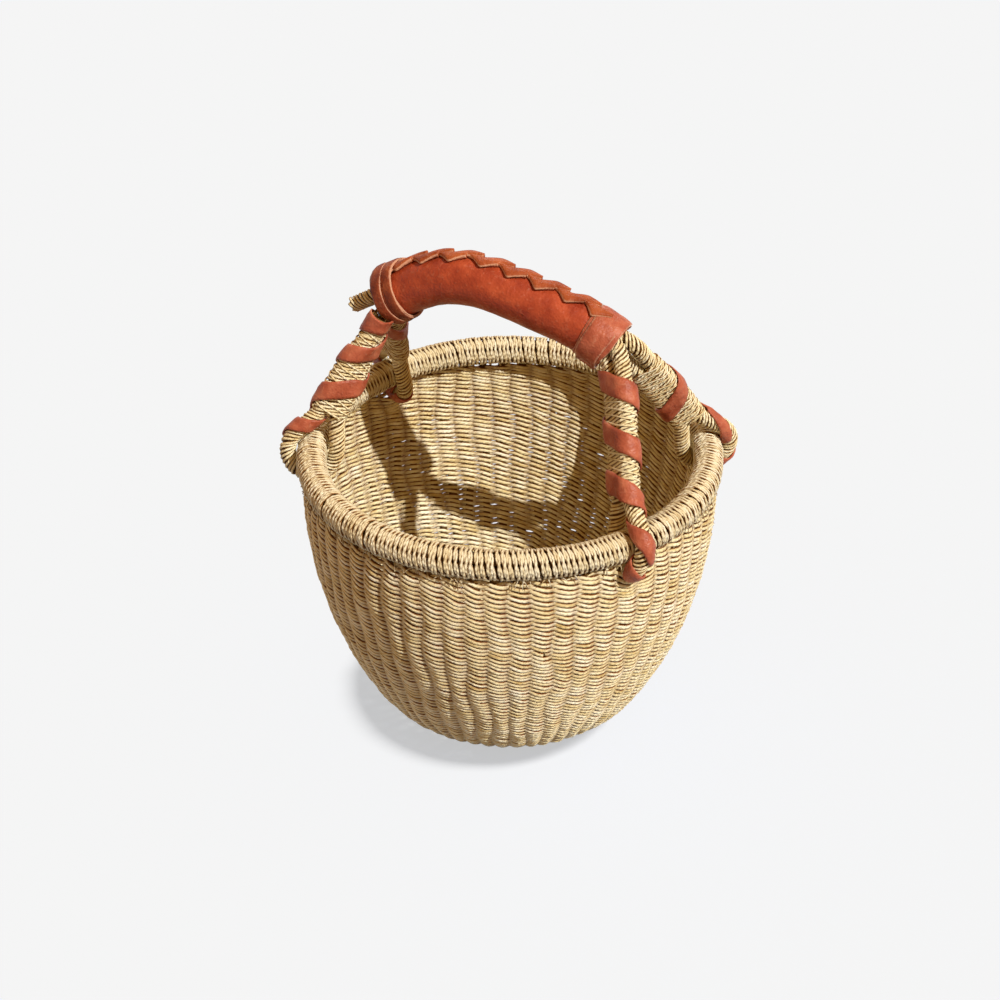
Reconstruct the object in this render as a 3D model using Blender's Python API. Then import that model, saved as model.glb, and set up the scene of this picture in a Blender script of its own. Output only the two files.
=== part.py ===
"""A small bolga basket: a twined grass body with a bound rim roll, and an arched handle
made of two grass ropes that loop under the rim and are lashed with leather strip."""

import math

import bmesh
import bpy
import numpy as np

# The clearance that two touching pieces keep, and how far a cutter overruns
GAP = 0.0003

# Woven body: two grass wefts twined round upright stakes, up from a flat base
STAKES = 60
WALL = 0.005
BASE_RADIUS = 0.058
BASE_THICKNESS = 0.005
STITCH_DEPTH = 0.0009
# How far up the wall each course lies, how far it has spread and how deep its stitches are
COURSE_SHARES = (
    (0.0, 0.0, 0.0),
    (0.02, 0.137, 0.4),
    (0.055, 0.275, 1.0),
    (0.105, 0.39, 1.0),
    (0.2, 0.55, 1.0),
    (0.32, 0.7, 1.0),
    (0.46, 0.842, 1.0),
    (0.62, 0.955, 1.0),
    (0.8, 1.025, 1.0),
    (0.93, 1.037, 1.0),
    (1.0, 1.0, 0.6),
)

# Rim: a roll of grass stems, bound on with split straw
RIM_RADIUS = 0.1028
RIM_HEIGHT = 0.147
RIM_ROLL_RADIUS = 0.008
RIM_BINDING_WALL = 0.0012
WALL_SEAT_SHARE = 0.55
# The rim is uneven: it rises smoothly by this much at one place of its round, at the back
RIM_RISE = 0.0028
RIM_RISE_ANGLE = math.radians(115)
RIM_RISE_POWER = 4
RIM_STEPS = 60
ROLL_SIDES = 9

# Handle: two straw-wrapped ropes that each pass twice through the grip
STRAND_RADIUS = 0.0042
GRIP_MIDDLE_X = -0.0058
GRIP_HEIGHT = 0.241
GRIP_HALF_SPAN = 0.0618
GRIP_RISE = 0.018
# How far the arch bulges at its left and flattens at its right, where a hand has bent it
GRIP_SKEW = 0.0035
STUB_LENGTH = 0.02
TUCK_SHARE = 0.09
RIGHT_NEAR_FOOT = math.radians(-30.5)
RIGHT_FAR_FOOT = math.radians(30)
LEFT_NEAR_FOOT = math.radians(-156)
LEFT_FAR_FOOT = math.radians(154)
FORK_LENGTH = 0.022
LOOP_LEAN_SHARE = 0.85
RIGHT_MOUTH_PULL = 0.008
LEFT_MOUTH_PULL = 0.014
# How much more steeply than the grip a leg leaves the mouth, and when its pair starts to turn
LEFT_DROP_SHARE = 1.1
LEFT_TWIST_SHARE = 0.25
FORK_PULL = 0.025
LEG_STEPS = 10
LOOP_STEPS = 8
STRAND_SIDES = 8

# Straw binding round the two strands of each leg
BINDING_WALL = 0.0006
BINDING_FIRST_STEP = 5
BINDING_END_SHARE = 0.75
OVAL_SIDES = 12

# Leather: strip wound down each leg, a sleeve sewn round the grip, its lace and two collars
STRIP_WIDTH = 0.0115
STRIP_THICKNESS = 0.0013
RIGHT_STRIP_PITCH = 0.0265
LEFT_STRIP_PITCH = 0.023
# Turns from the strip's end, how far they lie between fork and rim, and how wide it is there
LAST_TURN_SHARES = (
    (-0.75, 0.33, 0.85),
    (-0.5, 0.37, 0.7),
    (-0.25, 0.55, 0.85),
    (0.0, 0.85, 1.0),
    (0.25, 1.12, 1.0),
)
RIGHT_NEAR_SHARES = ((-1.5, -0.6, 1.0), (-1.25, -0.42, 1.0), (-1.0, -0.02, 1.0), *LAST_TURN_SHARES)
LEFT_NEAR_SHARES = ((-1.5, -1.3, 1.0), (-1.25, -0.95, 1.0), (-1.0, -0.45, 1.0), *LAST_TURN_SHARES)
# These two go straight from both strands to the outer one
RIGHT_FAR_SHARES = ((-0.75, -1.35, 1.0), (-0.5, -1.1, 1.0), (-0.25, -0.6, 1.0), (0.0, 0.35, 1.0),
                    (0.25, 1.12, 1.0))
LEFT_FAR_SHARES = ((-0.75, -1.6, 1.0), (-0.5, -1.3, 1.0), (-0.25, -0.7, 1.0), (0.0, 0.35, 1.0),
                   (0.25, 1.12, 1.0))
STRIP_TURN_POINTS = 24
STRIP_SLACK = 0.0009
RIGHT_STRIP_START = 0.015
LEFT_STRIP_START = 0.008
STRIP_TAIL_STEPS = 5
STRIP_SPLIT_SHARE = 0.2
SLEEVE_WALL = 0.0018
SLEEVE_SIDES = 16
GRIP_STEPS = 10
COLLAR_WIDTH = 0.012
COLLAR_THICKNESS = 0.0018
# How far across a collar's width each ridge or groove lies, and how thick it is there
COLLAR_SHARES = ((0.0, 0.6), (0.2, 1.0), (0.42, 0.95), (0.5, 0.62), (0.58, 0.9), (0.8, 0.85), (1.0, 0.5))
LACE_HALF_WIDTH = 0.0052
LACE_THICKNESS = 0.0024
LACE_LOBES = 8
LACE_LOBE_STEPS = 4
LACE_SCALLOP_SHARE = 0.26
LACE_EDGE_SHARE = 0.45

# A small turn, for the run of a circle
ANGLE_STEP = math.radians(1)

# Worked out from the sizes above
LEG_SHARES = np.linspace(0, 1, LEG_STEPS + 1)
HALF_PITCH = STRAND_RADIUS + GAP / 2
ARCH_RADIUS = (GRIP_HALF_SPAN ** 2 + GRIP_RISE ** 2) / (2 * GRIP_RISE)
ARCH_TURN = math.asin(GRIP_HALF_SPAN / ARCH_RADIUS)
ARCH_SAG = (ARCH_RADIUS * (1 - math.cos(ARCH_TURN / GRIP_STEPS))
            + GRIP_SKEW * (math.pi / GRIP_STEPS) ** 2 / 2)
SLEEVE_BORE = (HALF_PITCH * math.sqrt(2) + STRAND_RADIUS + GAP) / math.cos(math.pi / SLEEVE_SIDES)
SLEEVE_RADIUS = SLEEVE_BORE + SLEEVE_WALL
OVER_SLEEVE = SLEEVE_RADIUS + GAP + ARCH_SAG
ROLL_BORE = RIM_ROLL_RADIUS - RIM_BINDING_WALL
WALL_TOP_RADIUS = RIM_RADIUS + WALL_SEAT_SHARE * ROLL_BORE
CORE_RADIUS = ROLL_BORE * math.cos(math.pi / ROLL_SIDES) - GAP
WALL_TOP = RIM_HEIGHT - CORE_RADIUS - GAP
BINDING_BORE = (STRAND_RADIUS + GAP) / math.cos(math.pi / OVAL_SIDES)
OVER_BINDING = BINDING_BORE + BINDING_WALL + STRIP_SLACK


def unit(vector):
    return vector / np.linalg.norm(vector)


def rim_lift(angle):
    """How far the uneven rim rises at an angle round the basket."""
    return RIM_RISE * ((1 + math.cos(angle - RIM_RISE_ANGLE)) / 2) ** RIM_RISE_POWER


def finish(name, colour, roughness, mesh):
    """Link a mesh as a named sub-part with a material of its own."""
    material = bpy.data.materials.new(name)
    material.use_nodes = True
    shader = material.node_tree.nodes["Principled BSDF"]
    shader.inputs["Base Color"].default_value = (*colour, 1)
    shader.inputs["Roughness"].default_value = roughness
    material.diffuse_color = (*colour, 1)
    mesh.materials.append(material)
    part = bpy.data.objects.new(name, mesh)
    bpy.context.scene.collection.objects.link(part)
    return part


STRAW = ((0.72, 0.58, 0.34), 0.7)
BOUND_STRAW = ((0.77, 0.63, 0.4), 0.62)
LEATHER = ((0.46, 0.13, 0.07), 0.42)
STRIP_LEATHER = ((0.44, 0.16, 0.1), 0.5)


def skin(name, rings, look, closed=False):
    """A closed mesh over a row of rings, whose two ends meet or are capped."""
    mesh = bmesh.new()
    rows = [[mesh.verts.new(point) for point in ring] for ring in rings]
    pairs = list(zip(rows, rows[1:]))
    if closed:
        pairs.append((rows[-1], rows[0]))
    else:
        mesh.faces.new(rows[0])
        mesh.faces.new(rows[-1])
    for near, far in pairs:
        for index in range(len(near)):
            after = (index + 1) % len(near)
            mesh.faces.new((near[index], near[after], far[after], far[index]))
    bmesh.ops.recalc_face_normals(mesh, faces=mesh.faces)
    data = bpy.data.meshes.new(name)
    mesh.to_mesh(data)
    mesh.free()
    data.shade_smooth()
    data.set_sharp_from_angle(angle=math.radians(45))
    return finish(name, *look, data)


def tube(name, points, radius, look):
    """A capped round tube along the points."""
    curve = bpy.data.curves.new(name, "CURVE")
    curve.dimensions = "3D"
    curve.bevel_depth = radius
    curve.bevel_resolution = STRAND_SIDES // 2 - 2
    curve.use_fill_caps = True
    spline = curve.splines.new("POLY")
    spline.points.add(len(points) - 1)
    for knot, point in zip(spline.points, points):
        knot.co = (*point, 1)
    return finish(name, *look, curve)


def turned(name, outline, look):
    """A closed outline of radius and height, spun once round the basket's axis and lifted."""
    mesh = bmesh.new()
    knots = [mesh.verts.new((radius, 0, height)) for radius, height in outline]
    edges = [mesh.edges.new(pair) for pair in zip(knots, knots[1:] + knots[:1])]
    bmesh.ops.spin(mesh, geom=knots + edges, axis=(0, 0, 1), cent=(0, 0, 0),
                   angle=2 * math.pi, steps=RIM_STEPS, use_merge=True)
    for knot in mesh.verts:
        knot.co.z += rim_lift(math.atan2(knot.co.y, knot.co.x))
    bmesh.ops.recalc_face_normals(mesh, faces=mesh.faces)
    data = bpy.data.meshes.new(name)
    mesh.to_mesh(data)
    mesh.free()
    data.shade_smooth()
    data.set_sharp_from_angle(angle=math.radians(45))
    return finish(name, *look, data)


def arch_point(turn, up=0, side=0):
    """A place on the grip's arch, by its turn from the top, height over it and side of it."""
    share = (turn / ARCH_TURN + 1) / 2
    skew = GRIP_SKEW * math.sin(2 * math.pi * share) * math.sin(math.pi * share)
    reach = ARCH_RADIUS + up + skew
    low = GRIP_HEIGHT - ARCH_RADIUS
    return np.array((GRIP_MIDDLE_X + reach * math.sin(turn), side, low + reach * math.cos(turn)))


def arch_run(turn):
    return np.array((math.cos(turn), 0, -math.sin(turn)))


def arch_rise(turn):
    return np.array((math.sin(turn), 0, math.cos(turn)))


class Leg:
    """One leg of the handle: a pair of strands from the grip's mouth, forked round the rim.
    end is 1 for the leg at +X and -1 at -X, side is 1 for +Y and -1 for -Y, and foot is the
    loop's angle round the rim. strip_shares places the end of its leather strip."""

    def __init__(self, end, side, foot, strip_shares):
        self.end = end
        self.side = side
        self.strip_shares = strip_shares
        out = np.array((math.cos(foot), math.sin(foot), 0))
        along = np.cross((0, 0, 1), out)
        turn = end * ARCH_TURN
        self.run = end * arch_run(turn)
        if end > 0:
            self.mouth = arch_point(turn, side=side * HALF_PITCH)
            self.spread = arch_rise(turn)
            self.leave = self.run * RIGHT_MOUTH_PULL
            self.twist = 0
            self.pitch, self.start = RIGHT_STRIP_PITCH, RIGHT_STRIP_START
        else:
            self.mouth = arch_point(turn, up=-HALF_PITCH, side=side * 2 * HALF_PITCH)
            self.spread = np.array((0, side, 0))
            self.leave = unit(self.run - np.array((0, 0, LEFT_DROP_SHARE))) * LEFT_MOUTH_PULL
            self.twist = LEFT_TWIST_SHARE
            self.pitch, self.start = LEFT_STRIP_PITCH, LEFT_STRIP_START
        self.rim = out * RIM_RADIUS + np.array((0, 0, RIM_HEIGHT + rim_lift(foot)))
        lean = self.mouth - self.rim
        lean[:2] *= LOOP_LEAN_SHARE
        self.axis = unit(lean)
        self.across = unit(np.cross(along, self.axis))
        self.stretch = 1 / math.sqrt(1 - (self.axis @ along) ** 2)
        self.fork = self.rim + self.axis * FORK_LENGTH
        self.reach = RIM_ROLL_RADIUS + 2 * GAP + STRAND_RADIUS

    def pair(self, share):
        """The pair's centre, its run and its spread at a share of the way to the fork."""
        knots = (self.mouth, self.mouth + self.leave,
                 self.fork + self.axis * FORK_PULL, self.fork)
        back = 1 - share
        centre = (back ** 3 * knots[0] + 3 * back ** 2 * share * knots[1]
                  + 3 * back * share ** 2 * knots[2] + share ** 3 * knots[3])
        run = unit(back ** 2 * (knots[1] - knots[0]) + 2 * back * share * (knots[2] - knots[1])
                   + share ** 2 * (knots[3] - knots[2]))
        late = max(0, share - self.twist) / (1 - self.twist)
        turned_by = late ** 2 * (3 - 2 * late)
        spread = self.spread * (1 - turned_by) + self.across * turned_by
        return centre, run, unit(spread - run * (spread @ run))

    def strand(self, hand, start=0):
        """The outer strand's points (hand 1) or the inner one's (-1), from mouth to fork."""
        points = []
        for share in (start, *LEG_SHARES[1:]):
            centre, run, spread = self.pair(share)
            points.append(centre + hand * HALF_PITCH * spread)
        return points

    def wrap_angle(self):
        """How far from the loop's axis a strand that comes from the fork meets its circle."""
        far = math.hypot(FORK_LENGTH / self.stretch, HALF_PITCH)
        return math.atan2(HALF_PITCH, FORK_LENGTH / self.stretch) + math.acos(self.reach / far)

    def round_rim(self, angle):
        """The loop's point at an angle from its axis, positive on the outer side."""
        return (self.rim + self.reach * math.cos(angle) * self.stretch * self.axis
                + self.reach * math.sin(angle) * self.across)

    def loop(self):
        """The loop's points, down the outer side, under the rim and up the inner side."""
        start = self.wrap_angle()
        return [self.round_rim(angle)
                for angle in np.linspace(start, 2 * math.pi - start, LOOP_STEPS + 1)]


def circle(sides, radius):
    """Points of a circle about the origin, as pairs."""
    return [(radius * math.cos(2 * math.pi * side / sides), radius * math.sin(2 * math.pi * side / sides))
            for side in range(sides)]


def oval(share, half, radius):
    """A place round an oval, a circle drawn out by half each way, from its outermost point."""
    arc = math.pi * radius
    around = (share % 1) * (2 * arc + 4 * half)
    if around <= arc / 2:
        angle, shift = around / radius, half
    elif around < arc / 2 + 2 * half:
        return half - (around - arc / 2), radius
    elif around <= 3 * arc / 2 + 2 * half:
        angle, shift = (around - 2 * half) / radius, -half
    elif around < 3 * arc / 2 + 4 * half:
        return around - 3 * arc / 2 - 3 * half, -radius
    else:
        angle, shift = (around - 4 * half) / radius, half
    return shift + radius * math.cos(angle), radius * math.sin(angle)


def oval_ring(sides, half, radius):
    """Corners round an oval, half of them on each round end."""
    quarter = math.pi / 2
    corners = []
    for end in (1, -1):
        for angle in np.linspace(-quarter, quarter, sides // 2):
            corners.append((end * (half + radius * math.cos(angle)), end * radius * math.sin(angle)))
    return corners


def woven_body(loops):
    """The twined wall and base, with a rib at each stake and four holes for the rope loops."""
    columns = 2 * STAKES
    spread = WALL_TOP_RADIUS - BASE_RADIUS

    def ring(radius, height, depth=0):
        points = []
        for column in range(columns):
            angle = 2 * math.pi * column / columns
            reach = radius - depth * (column % 2)
            lift = rim_lift(angle) * height / WALL_TOP
            points.append((reach * math.cos(angle), reach * math.sin(angle), height + lift))
        return points

    rings = [ring(BASE_RADIUS + spread * out, WALL_TOP * up, STITCH_DEPTH * deep)
             for up, out, deep in COURSE_SHARES]
    for up, out, deep in reversed(COURSE_SHARES):
        height = max(WALL_TOP * up, BASE_THICKNESS)
        if up and height == BASE_THICKNESS:
            continue
        rings.append(ring(BASE_RADIUS + spread * out - WALL, height))
    body = skin("woven_body", rings, STRAW)
    for number, loop in enumerate(loops):
        path = tube(f"hole_cutter_{number}", loop, STRAND_RADIUS + 2 * GAP, STRAW)
        cutter = bpy.data.objects.new(path.name + "_solid", bpy.data.meshes.new_from_object(path))
        bpy.data.objects.remove(path)
        bpy.context.scene.collection.objects.link(cutter)
        cutter.hide_render = True
        cutter.display_type = "WIRE"
        cut = body.modifiers.new(cutter.name, "BOOLEAN")
        cut.object = cutter
        cut.solver = "EXACT"
    return body


def rim():
    """The stem roll, and the straw binding round it with a slot where the wall enters."""
    turned("rim_core", [(RIM_RADIUS + x, RIM_HEIGHT + y) for x, y in circle(ROLL_SIDES, CORE_RADIUS)],
           STRAW)
    slot_in = WALL_TOP_RADIUS - WALL - RIM_RADIUS - GAP
    slot_out = WALL_TOP_RADIUS - RIM_RADIUS + GAP
    start = -math.pi / 2 + math.asin(slot_out / ROLL_BORE)
    stop = 3 * math.pi / 2 + math.asin(slot_in / ROLL_BORE)
    angles = np.linspace(start, stop, ROLL_SIDES + 1)
    outline = [(RIM_ROLL_RADIUS, angle) for angle in angles] + [(ROLL_BORE, angle) for angle in angles[::-1]]
    turned("rim_binding", [(RIM_RADIUS + reach * math.cos(angle), RIM_HEIGHT + reach * math.sin(angle))
                           for reach, angle in outline], BOUND_STRAW)


def handle_rope(name, left, right, stub):
    """One rope, from the left collar round both feet and twice through the grip."""
    side = left.side * HALF_PITCH
    turns = np.linspace(-ARCH_TURN, ARCH_TURN, GRIP_STEPS + 1)
    route = left.strand(1, start=TUCK_SHARE) + left.loop() + left.strand(-1)[:0:-1]
    route += [arch_point(turn, -HALF_PITCH, side) for turn in turns]
    route += right.strand(-1)[1:] + right.loop()[::-1] + right.strand(1)[:0:-1]
    route += [arch_point(turn, HALF_PITCH, side) for turn in turns[::-1]]
    if stub:
        route.append(route[-1] + left.run * STUB_LENGTH)
    tube(name, route, STRAND_RADIUS, BOUND_STRAW)


def leg_binding(name, leg):
    """The straw wound round a leg's two strands, down to the fork."""
    outer, bore = [], []
    for share in LEG_SHARES[BINDING_FIRST_STEP:]:
        centre, run, spread = leg.pair(share)
        beside = np.cross(run, spread)
        for rows, radius in ((outer, BINDING_BORE + BINDING_WALL), (bore, BINDING_BORE)):
            rows.append([centre + x * spread + y * beside
                         for x, y in oval_ring(OVAL_SIDES, HALF_PITCH, radius)])
    for rows in (outer, bore):
        rows[-1] = list(np.array(rows[-2]) * (1 - BINDING_END_SHARE) + np.array(rows[-1]) * BINDING_END_SHARE)
    skin(name, outer + bore[::-1], BOUND_STRAW, closed=True)


def leg_track(leg):
    """Stations down a leg's outer strand to the rim's outer side: lengths, places, axes."""
    places, spreads, runs = [], [], []
    for share in LEG_SHARES:
        centre, run, spread = leg.pair(share)
        places.append(centre + HALF_PITCH * spread)
        spreads.append(spread)
        runs.append(run)
    start = leg.wrap_angle()
    angles = np.linspace(start, math.pi, LOOP_STEPS)
    for angle in (start, *angles):
        places.append(leg.round_rim(angle))
        spreads.append(unit(leg.round_rim(angle) - leg.rim))
        runs.append(unit(leg.round_rim(angle + ANGLE_STEP) - leg.round_rim(angle)))
    forked = LEG_STEPS + 1
    places[forked] = places[forked - 1] * (1 - STRIP_SPLIT_SHARE) + places[forked] * STRIP_SPLIT_SHARE
    lengths = np.cumsum([0, *np.linalg.norm(np.diff(places, axis=0), axis=1)])
    besides = np.cross(runs, spreads)
    return lengths, np.array(places), np.array(spreads), besides


def leg_strip(name, leg, lay):
    """Leather strip wound down a leg, first round both strands and then round the outer one."""
    lengths, places, spreads, besides = leg_track(leg)
    fork, rim_meets = lengths[LEG_STEPS], lengths[LEG_STEPS + 2]
    end_turns, end_shares, width_shares = np.transpose(leg.strip_shares)
    parting = math.ceil(end_turns[0])

    def middle(turn):
        """How far down the leg the middle of the strip is."""
        share = np.interp(turn, end_turns, end_shares)
        return fork + share * (rim_meets - fork) + leg.pitch * min(turn - end_turns[0], 0)

    steps = int(-end_turns[0] * STRIP_TURN_POINTS)
    while middle(-(steps + 1) / STRIP_TURN_POINTS) > leg.start:
        steps += 1

    def place(along, turn, lift):
        half, clear = (HALF_PITCH, STRIP_WIDTH / 2) if turn < parting else (0, 0)
        radius = OVER_BINDING if along < lengths[LEG_STEPS + 1] + clear else STRAND_RADIUS + GAP
        x, y = oval(turn, half, radius + lift)
        x -= half
        corners = places + x * spreads + y * lay * besides
        return np.array([np.interp(along, lengths, corners[:, axis]) for axis in range(3)])

    rings = []
    for step in range(-steps, STRIP_TAIL_STEPS + 1):
        turn = step / STRIP_TURN_POINTS
        width = STRIP_WIDTH * np.interp(turn, end_turns, width_shares)
        across = middle(turn) + width * np.linspace(-0.5, 0.5, 3)
        rings.append([place(along, turn, 0) for along in across]
                     + [place(along, turn, STRIP_THICKNESS) for along in across[::-1]])
    gap = least_gap(rings)
    print(f"{name}: least gap between turns {gap * 1000:.2f} mm")
    skin(name, rings, STRIP_LEATHER)


def least_gap(rings):
    """The least distance between points of a winding that are over half a turn apart."""
    points = np.array(rings)
    apart = STRIP_TURN_POINTS * 3 // 4
    least = math.inf
    for index in range(len(points) - apart):
        others = points[index + apart:].reshape(-1, 3)
        for corner in points[index]:
            least = min(least, np.linalg.norm(others - corner, axis=1).min())
    return least


def arch_ring(turn, corners):
    """Corners given as side and height from the grip's centreline, at a turn of the arch."""
    return [arch_point(turn, up, side) for side, up in corners]


def grip_sleeve():
    """The leather sleeve round the four passes of rope."""
    turns = np.linspace(-ARCH_TURN, ARCH_TURN, GRIP_STEPS + 1)
    outer = [arch_ring(turn, circle(SLEEVE_SIDES, SLEEVE_RADIUS)) for turn in turns]
    bore = [arch_ring(turn, circle(SLEEVE_SIDES, SLEEVE_BORE)) for turn in turns[::-1]]
    skin("grip_sleeve", outer + bore, LEATHER, closed=True)


def collar(name, end):
    """A leather band wrapped twice round one end of the grip."""
    bore = OVER_SLEEVE / math.cos(math.pi / SLEEVE_SIDES)
    turns = [end * (ARCH_TURN - across * COLLAR_WIDTH / ARCH_RADIUS) for across, thick in COLLAR_SHARES]
    outer = [arch_ring(turn, circle(SLEEVE_SIDES, bore + COLLAR_THICKNESS * thick))
             for turn, (across, thick) in zip(turns, COLLAR_SHARES)]
    inner = [arch_ring(turn, circle(SLEEVE_SIDES, bore)) for turn in turns[::-1]]
    skin(name, outer + inner, STRIP_LEATHER, closed=True)


def grip_lace():
    """The flat lace plaited along the top of the grip, with a scalloped edge."""
    reach = ARCH_TURN - (COLLAR_WIDTH + GAP) / ARCH_RADIUS
    steps = LACE_LOBES * LACE_LOBE_STEPS
    rings = []
    for step in range(steps + 1):
        wave = math.cos(2 * math.pi * step / LACE_LOBE_STEPS)
        crown = LACE_THICKNESS * (1 - LACE_SCALLOP_SHARE * math.sin(math.pi * step / LACE_LOBE_STEPS) ** 2)
        near = -LACE_HALF_WIDTH * (1 + LACE_SCALLOP_SHARE * wave) / OVER_SLEEVE
        far = LACE_HALF_WIDTH * (1 - LACE_SCALLOP_SHARE * wave) / OVER_SLEEVE
        under = [(angle, OVER_SLEEVE) for angle in np.linspace(near, far, 4)]
        over = [(far, OVER_SLEEVE + crown * LACE_EDGE_SHARE), (far / 2, OVER_SLEEVE + crown),
                (near / 2, OVER_SLEEVE + crown), (near, OVER_SLEEVE + crown * LACE_EDGE_SHARE)]
        corners = [(radius * math.sin(angle), radius * math.cos(angle)) for angle, radius in under + over]
        rings.append(arch_ring(reach * (2 * step / steps - 1), corners))
    skin("grip_lace", rings, STRIP_LEATHER)


for old in list(bpy.data.objects):
    bpy.data.objects.remove(old)

legs = {
    "right_near": Leg(1, -1, RIGHT_NEAR_FOOT, RIGHT_NEAR_SHARES),
    "right_far": Leg(1, 1, RIGHT_FAR_FOOT, RIGHT_FAR_SHARES),
    "left_near": Leg(-1, -1, LEFT_NEAR_FOOT, LEFT_NEAR_SHARES),
    "left_far": Leg(-1, 1, LEFT_FAR_FOOT, LEFT_FAR_SHARES),
}
woven_body([leg.loop() for leg in legs.values()])
rim()
handle_rope("near_rope", legs["left_near"], legs["right_near"], stub=True)
handle_rope("far_rope", legs["left_far"], legs["right_far"], stub=False)
for place, leg in legs.items():
    leg_binding(f"{place}_leg_binding", leg)
    leg_strip(f"{place}_leg_strip", leg, lay=leg.side * leg.end)
grip_sleeve()
collar("left_collar", -1)
collar("right_collar", 1)
grip_lace()
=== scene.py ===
"""A small round basket of twined elephant grass, with a bound rim and an arched handle of two
straw-wrapped ropes that loop under the rim, lashed with leather strip and covered by a grip."""

import math

import bpy
import numpy as np
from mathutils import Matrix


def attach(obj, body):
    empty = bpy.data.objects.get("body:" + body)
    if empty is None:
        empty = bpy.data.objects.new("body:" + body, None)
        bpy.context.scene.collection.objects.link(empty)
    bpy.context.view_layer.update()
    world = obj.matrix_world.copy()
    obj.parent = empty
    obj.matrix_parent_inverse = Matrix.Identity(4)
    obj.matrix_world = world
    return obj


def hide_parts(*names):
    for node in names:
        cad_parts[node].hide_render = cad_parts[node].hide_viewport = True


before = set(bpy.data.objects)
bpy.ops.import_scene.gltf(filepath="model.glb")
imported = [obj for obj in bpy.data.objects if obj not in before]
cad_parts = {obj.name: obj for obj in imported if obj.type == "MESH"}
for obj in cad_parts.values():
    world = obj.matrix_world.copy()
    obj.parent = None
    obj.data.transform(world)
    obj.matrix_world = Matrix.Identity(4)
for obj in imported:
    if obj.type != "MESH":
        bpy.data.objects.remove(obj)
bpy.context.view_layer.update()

# Stakes: sixty stems of elephant grass that fan out from the middle of the base and stand up
# the wall, split flat so that the wefts can twist tightly round them. The ends go into the rim.
STAKES = 60
STAKE_PHASE = math.radians(3)
STAKE_HALF_WIDTH = 0.0026
STAKE_HALF_THICKNESS = 0.00046
STAKE_POINTS = 64
# Fifteen stakes start at the first line, fifteen are added half way and thirty at the second
MIDDLE_STAKE_LINE = 0.0002
BASE_STAKE_LINE = 0.030
INTO_RIM = 0.001
WALL = 0.005
BASE_RADIUS = 0.058
WALL_TOP_RADIUS = 0.10654
WALL_TOP = 0.14061
# The wall's outline: shares of its height, and of how far it spreads there
COURSE_SHARES = ((0.0, 0.0), (0.02, 0.137), (0.055, 0.275), (0.105, 0.39), (0.2, 0.55), (0.32, 0.7),
                 (0.46, 0.842), (0.62, 0.955), (0.8, 1.025), (0.93, 1.037), (1.0, 1.0))
RIM_RADIUS = 0.1028
RIM_HEIGHT = 0.147
RIM_RISE = 0.0028
RIM_RISE_ANGLE = math.radians(115)
RIM_RISE_POWER = 4
FEET = [math.radians(angle) for angle in (-30.5, 30, -156, 154)]
HOLE_HEIGHT = 0.1342
HOLE_RADIUS = 0.0044
HOLE_REACH = 0.016
SIDEWAYS_DRIFT = 0.0016
UPWARD_DRIFT = 0.0007
# Waves of that drift: how many round the basket, radians a centimetre up, offset and weight
SIDEWAYS_WAVES = ((7, 0.9, 1.0, 1.0), (11, -1.3, 2.2, 1.0), (19, 1.7, 0.4, 0.7))
UPWARD_WAVES = ((9, 0.8, 0.0, 1.0), (17, -1.9, 1.1, 1.0))

luck = np.random.default_rng(11)


def unit(vectors):
    return vectors / np.linalg.norm(vectors, axis=-1, keepdims=True)


def along_line(points):
    """How far along a line each of its points lies."""
    return np.concatenate([[0], np.cumsum(np.linalg.norm(np.diff(points, axis=0), axis=1))])


def read_off(places, lengths, rows):
    """What goes with each point of a line, read off at other places along it."""
    return np.stack([np.interp(places, lengths, rows[:, axis]) for axis in range(rows.shape[1])], -1)


def even(points, step, window=1):
    """A line sampled again at even steps, with its corners eased over a number of steps."""
    points = np.asarray(points, float)
    lengths = along_line(points)
    line = read_off(np.linspace(0, lengths[-1], max(2, round(lengths[-1] / step)) + 1), lengths, points)
    if window > 1:
        half = window // 2
        before = 2 * line[0] - line[half:0:-1]
        after = 2 * line[-1] - line[-2:-half - 2:-1]
        padded = np.concatenate([before, line, after])
        line = np.stack([np.convolve(padded[:, axis], np.ones(window) / window, "valid")
                         for axis in range(line.shape[1])], 1)
    return line


spread = WALL_TOP_RADIUS - BASE_RADIUS
skin = [(0, 0)] + [(BASE_RADIUS + spread * out, WALL_TOP * up) for up, out in COURSE_SHARES]
skin = even(skin, 0.001, 9)
lean = unit(np.gradient(skin, axis=0))
outward = np.stack([lean[:, 1], -lean[:, 0]], 1)
wall_line = skin - outward * WALL / 2
wall_lengths = along_line(wall_line)


def wall_at(lengths):
    """Radius and height, the way up and the way out, at lengths along the wall's middle line."""
    return [read_off(lengths, wall_lengths, rows) for rows in (wall_line, lean, outward)]


def round_axis(pairs, angles):
    """Radius and height pairs, turned to their angles round the basket's axis."""
    radius, height = pairs[..., 0], pairs[..., 1]
    return np.stack([radius * np.cos(angles), radius * np.sin(angles), height], -1)


def rim_lift(angles):
    """How far the uneven rim rises at angles round the basket."""
    return RIM_RISE * ((1 + np.cos(angles - RIM_RISE_ANGLE)) / 2) ** RIM_RISE_POWER


def lifted(points, share=1.0):
    """Points moved up with the uneven rim, by a share that may differ from point to point."""
    angles = np.arctan2(points[..., 1], points[..., 0])
    return points + np.stack([0 * angles, 0 * angles, rim_lift(angles) * share], -1)


def drift(waves, angles, height):
    """A share between -1 and 1 that wanders slowly over the basket, as the maker's hand does."""
    wandered = sum(weight * np.sin(count * angles + up * height + offset)
                   for count, up, offset, weight in waves)
    return wandered / sum(wave[3] for wave in waves)


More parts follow.
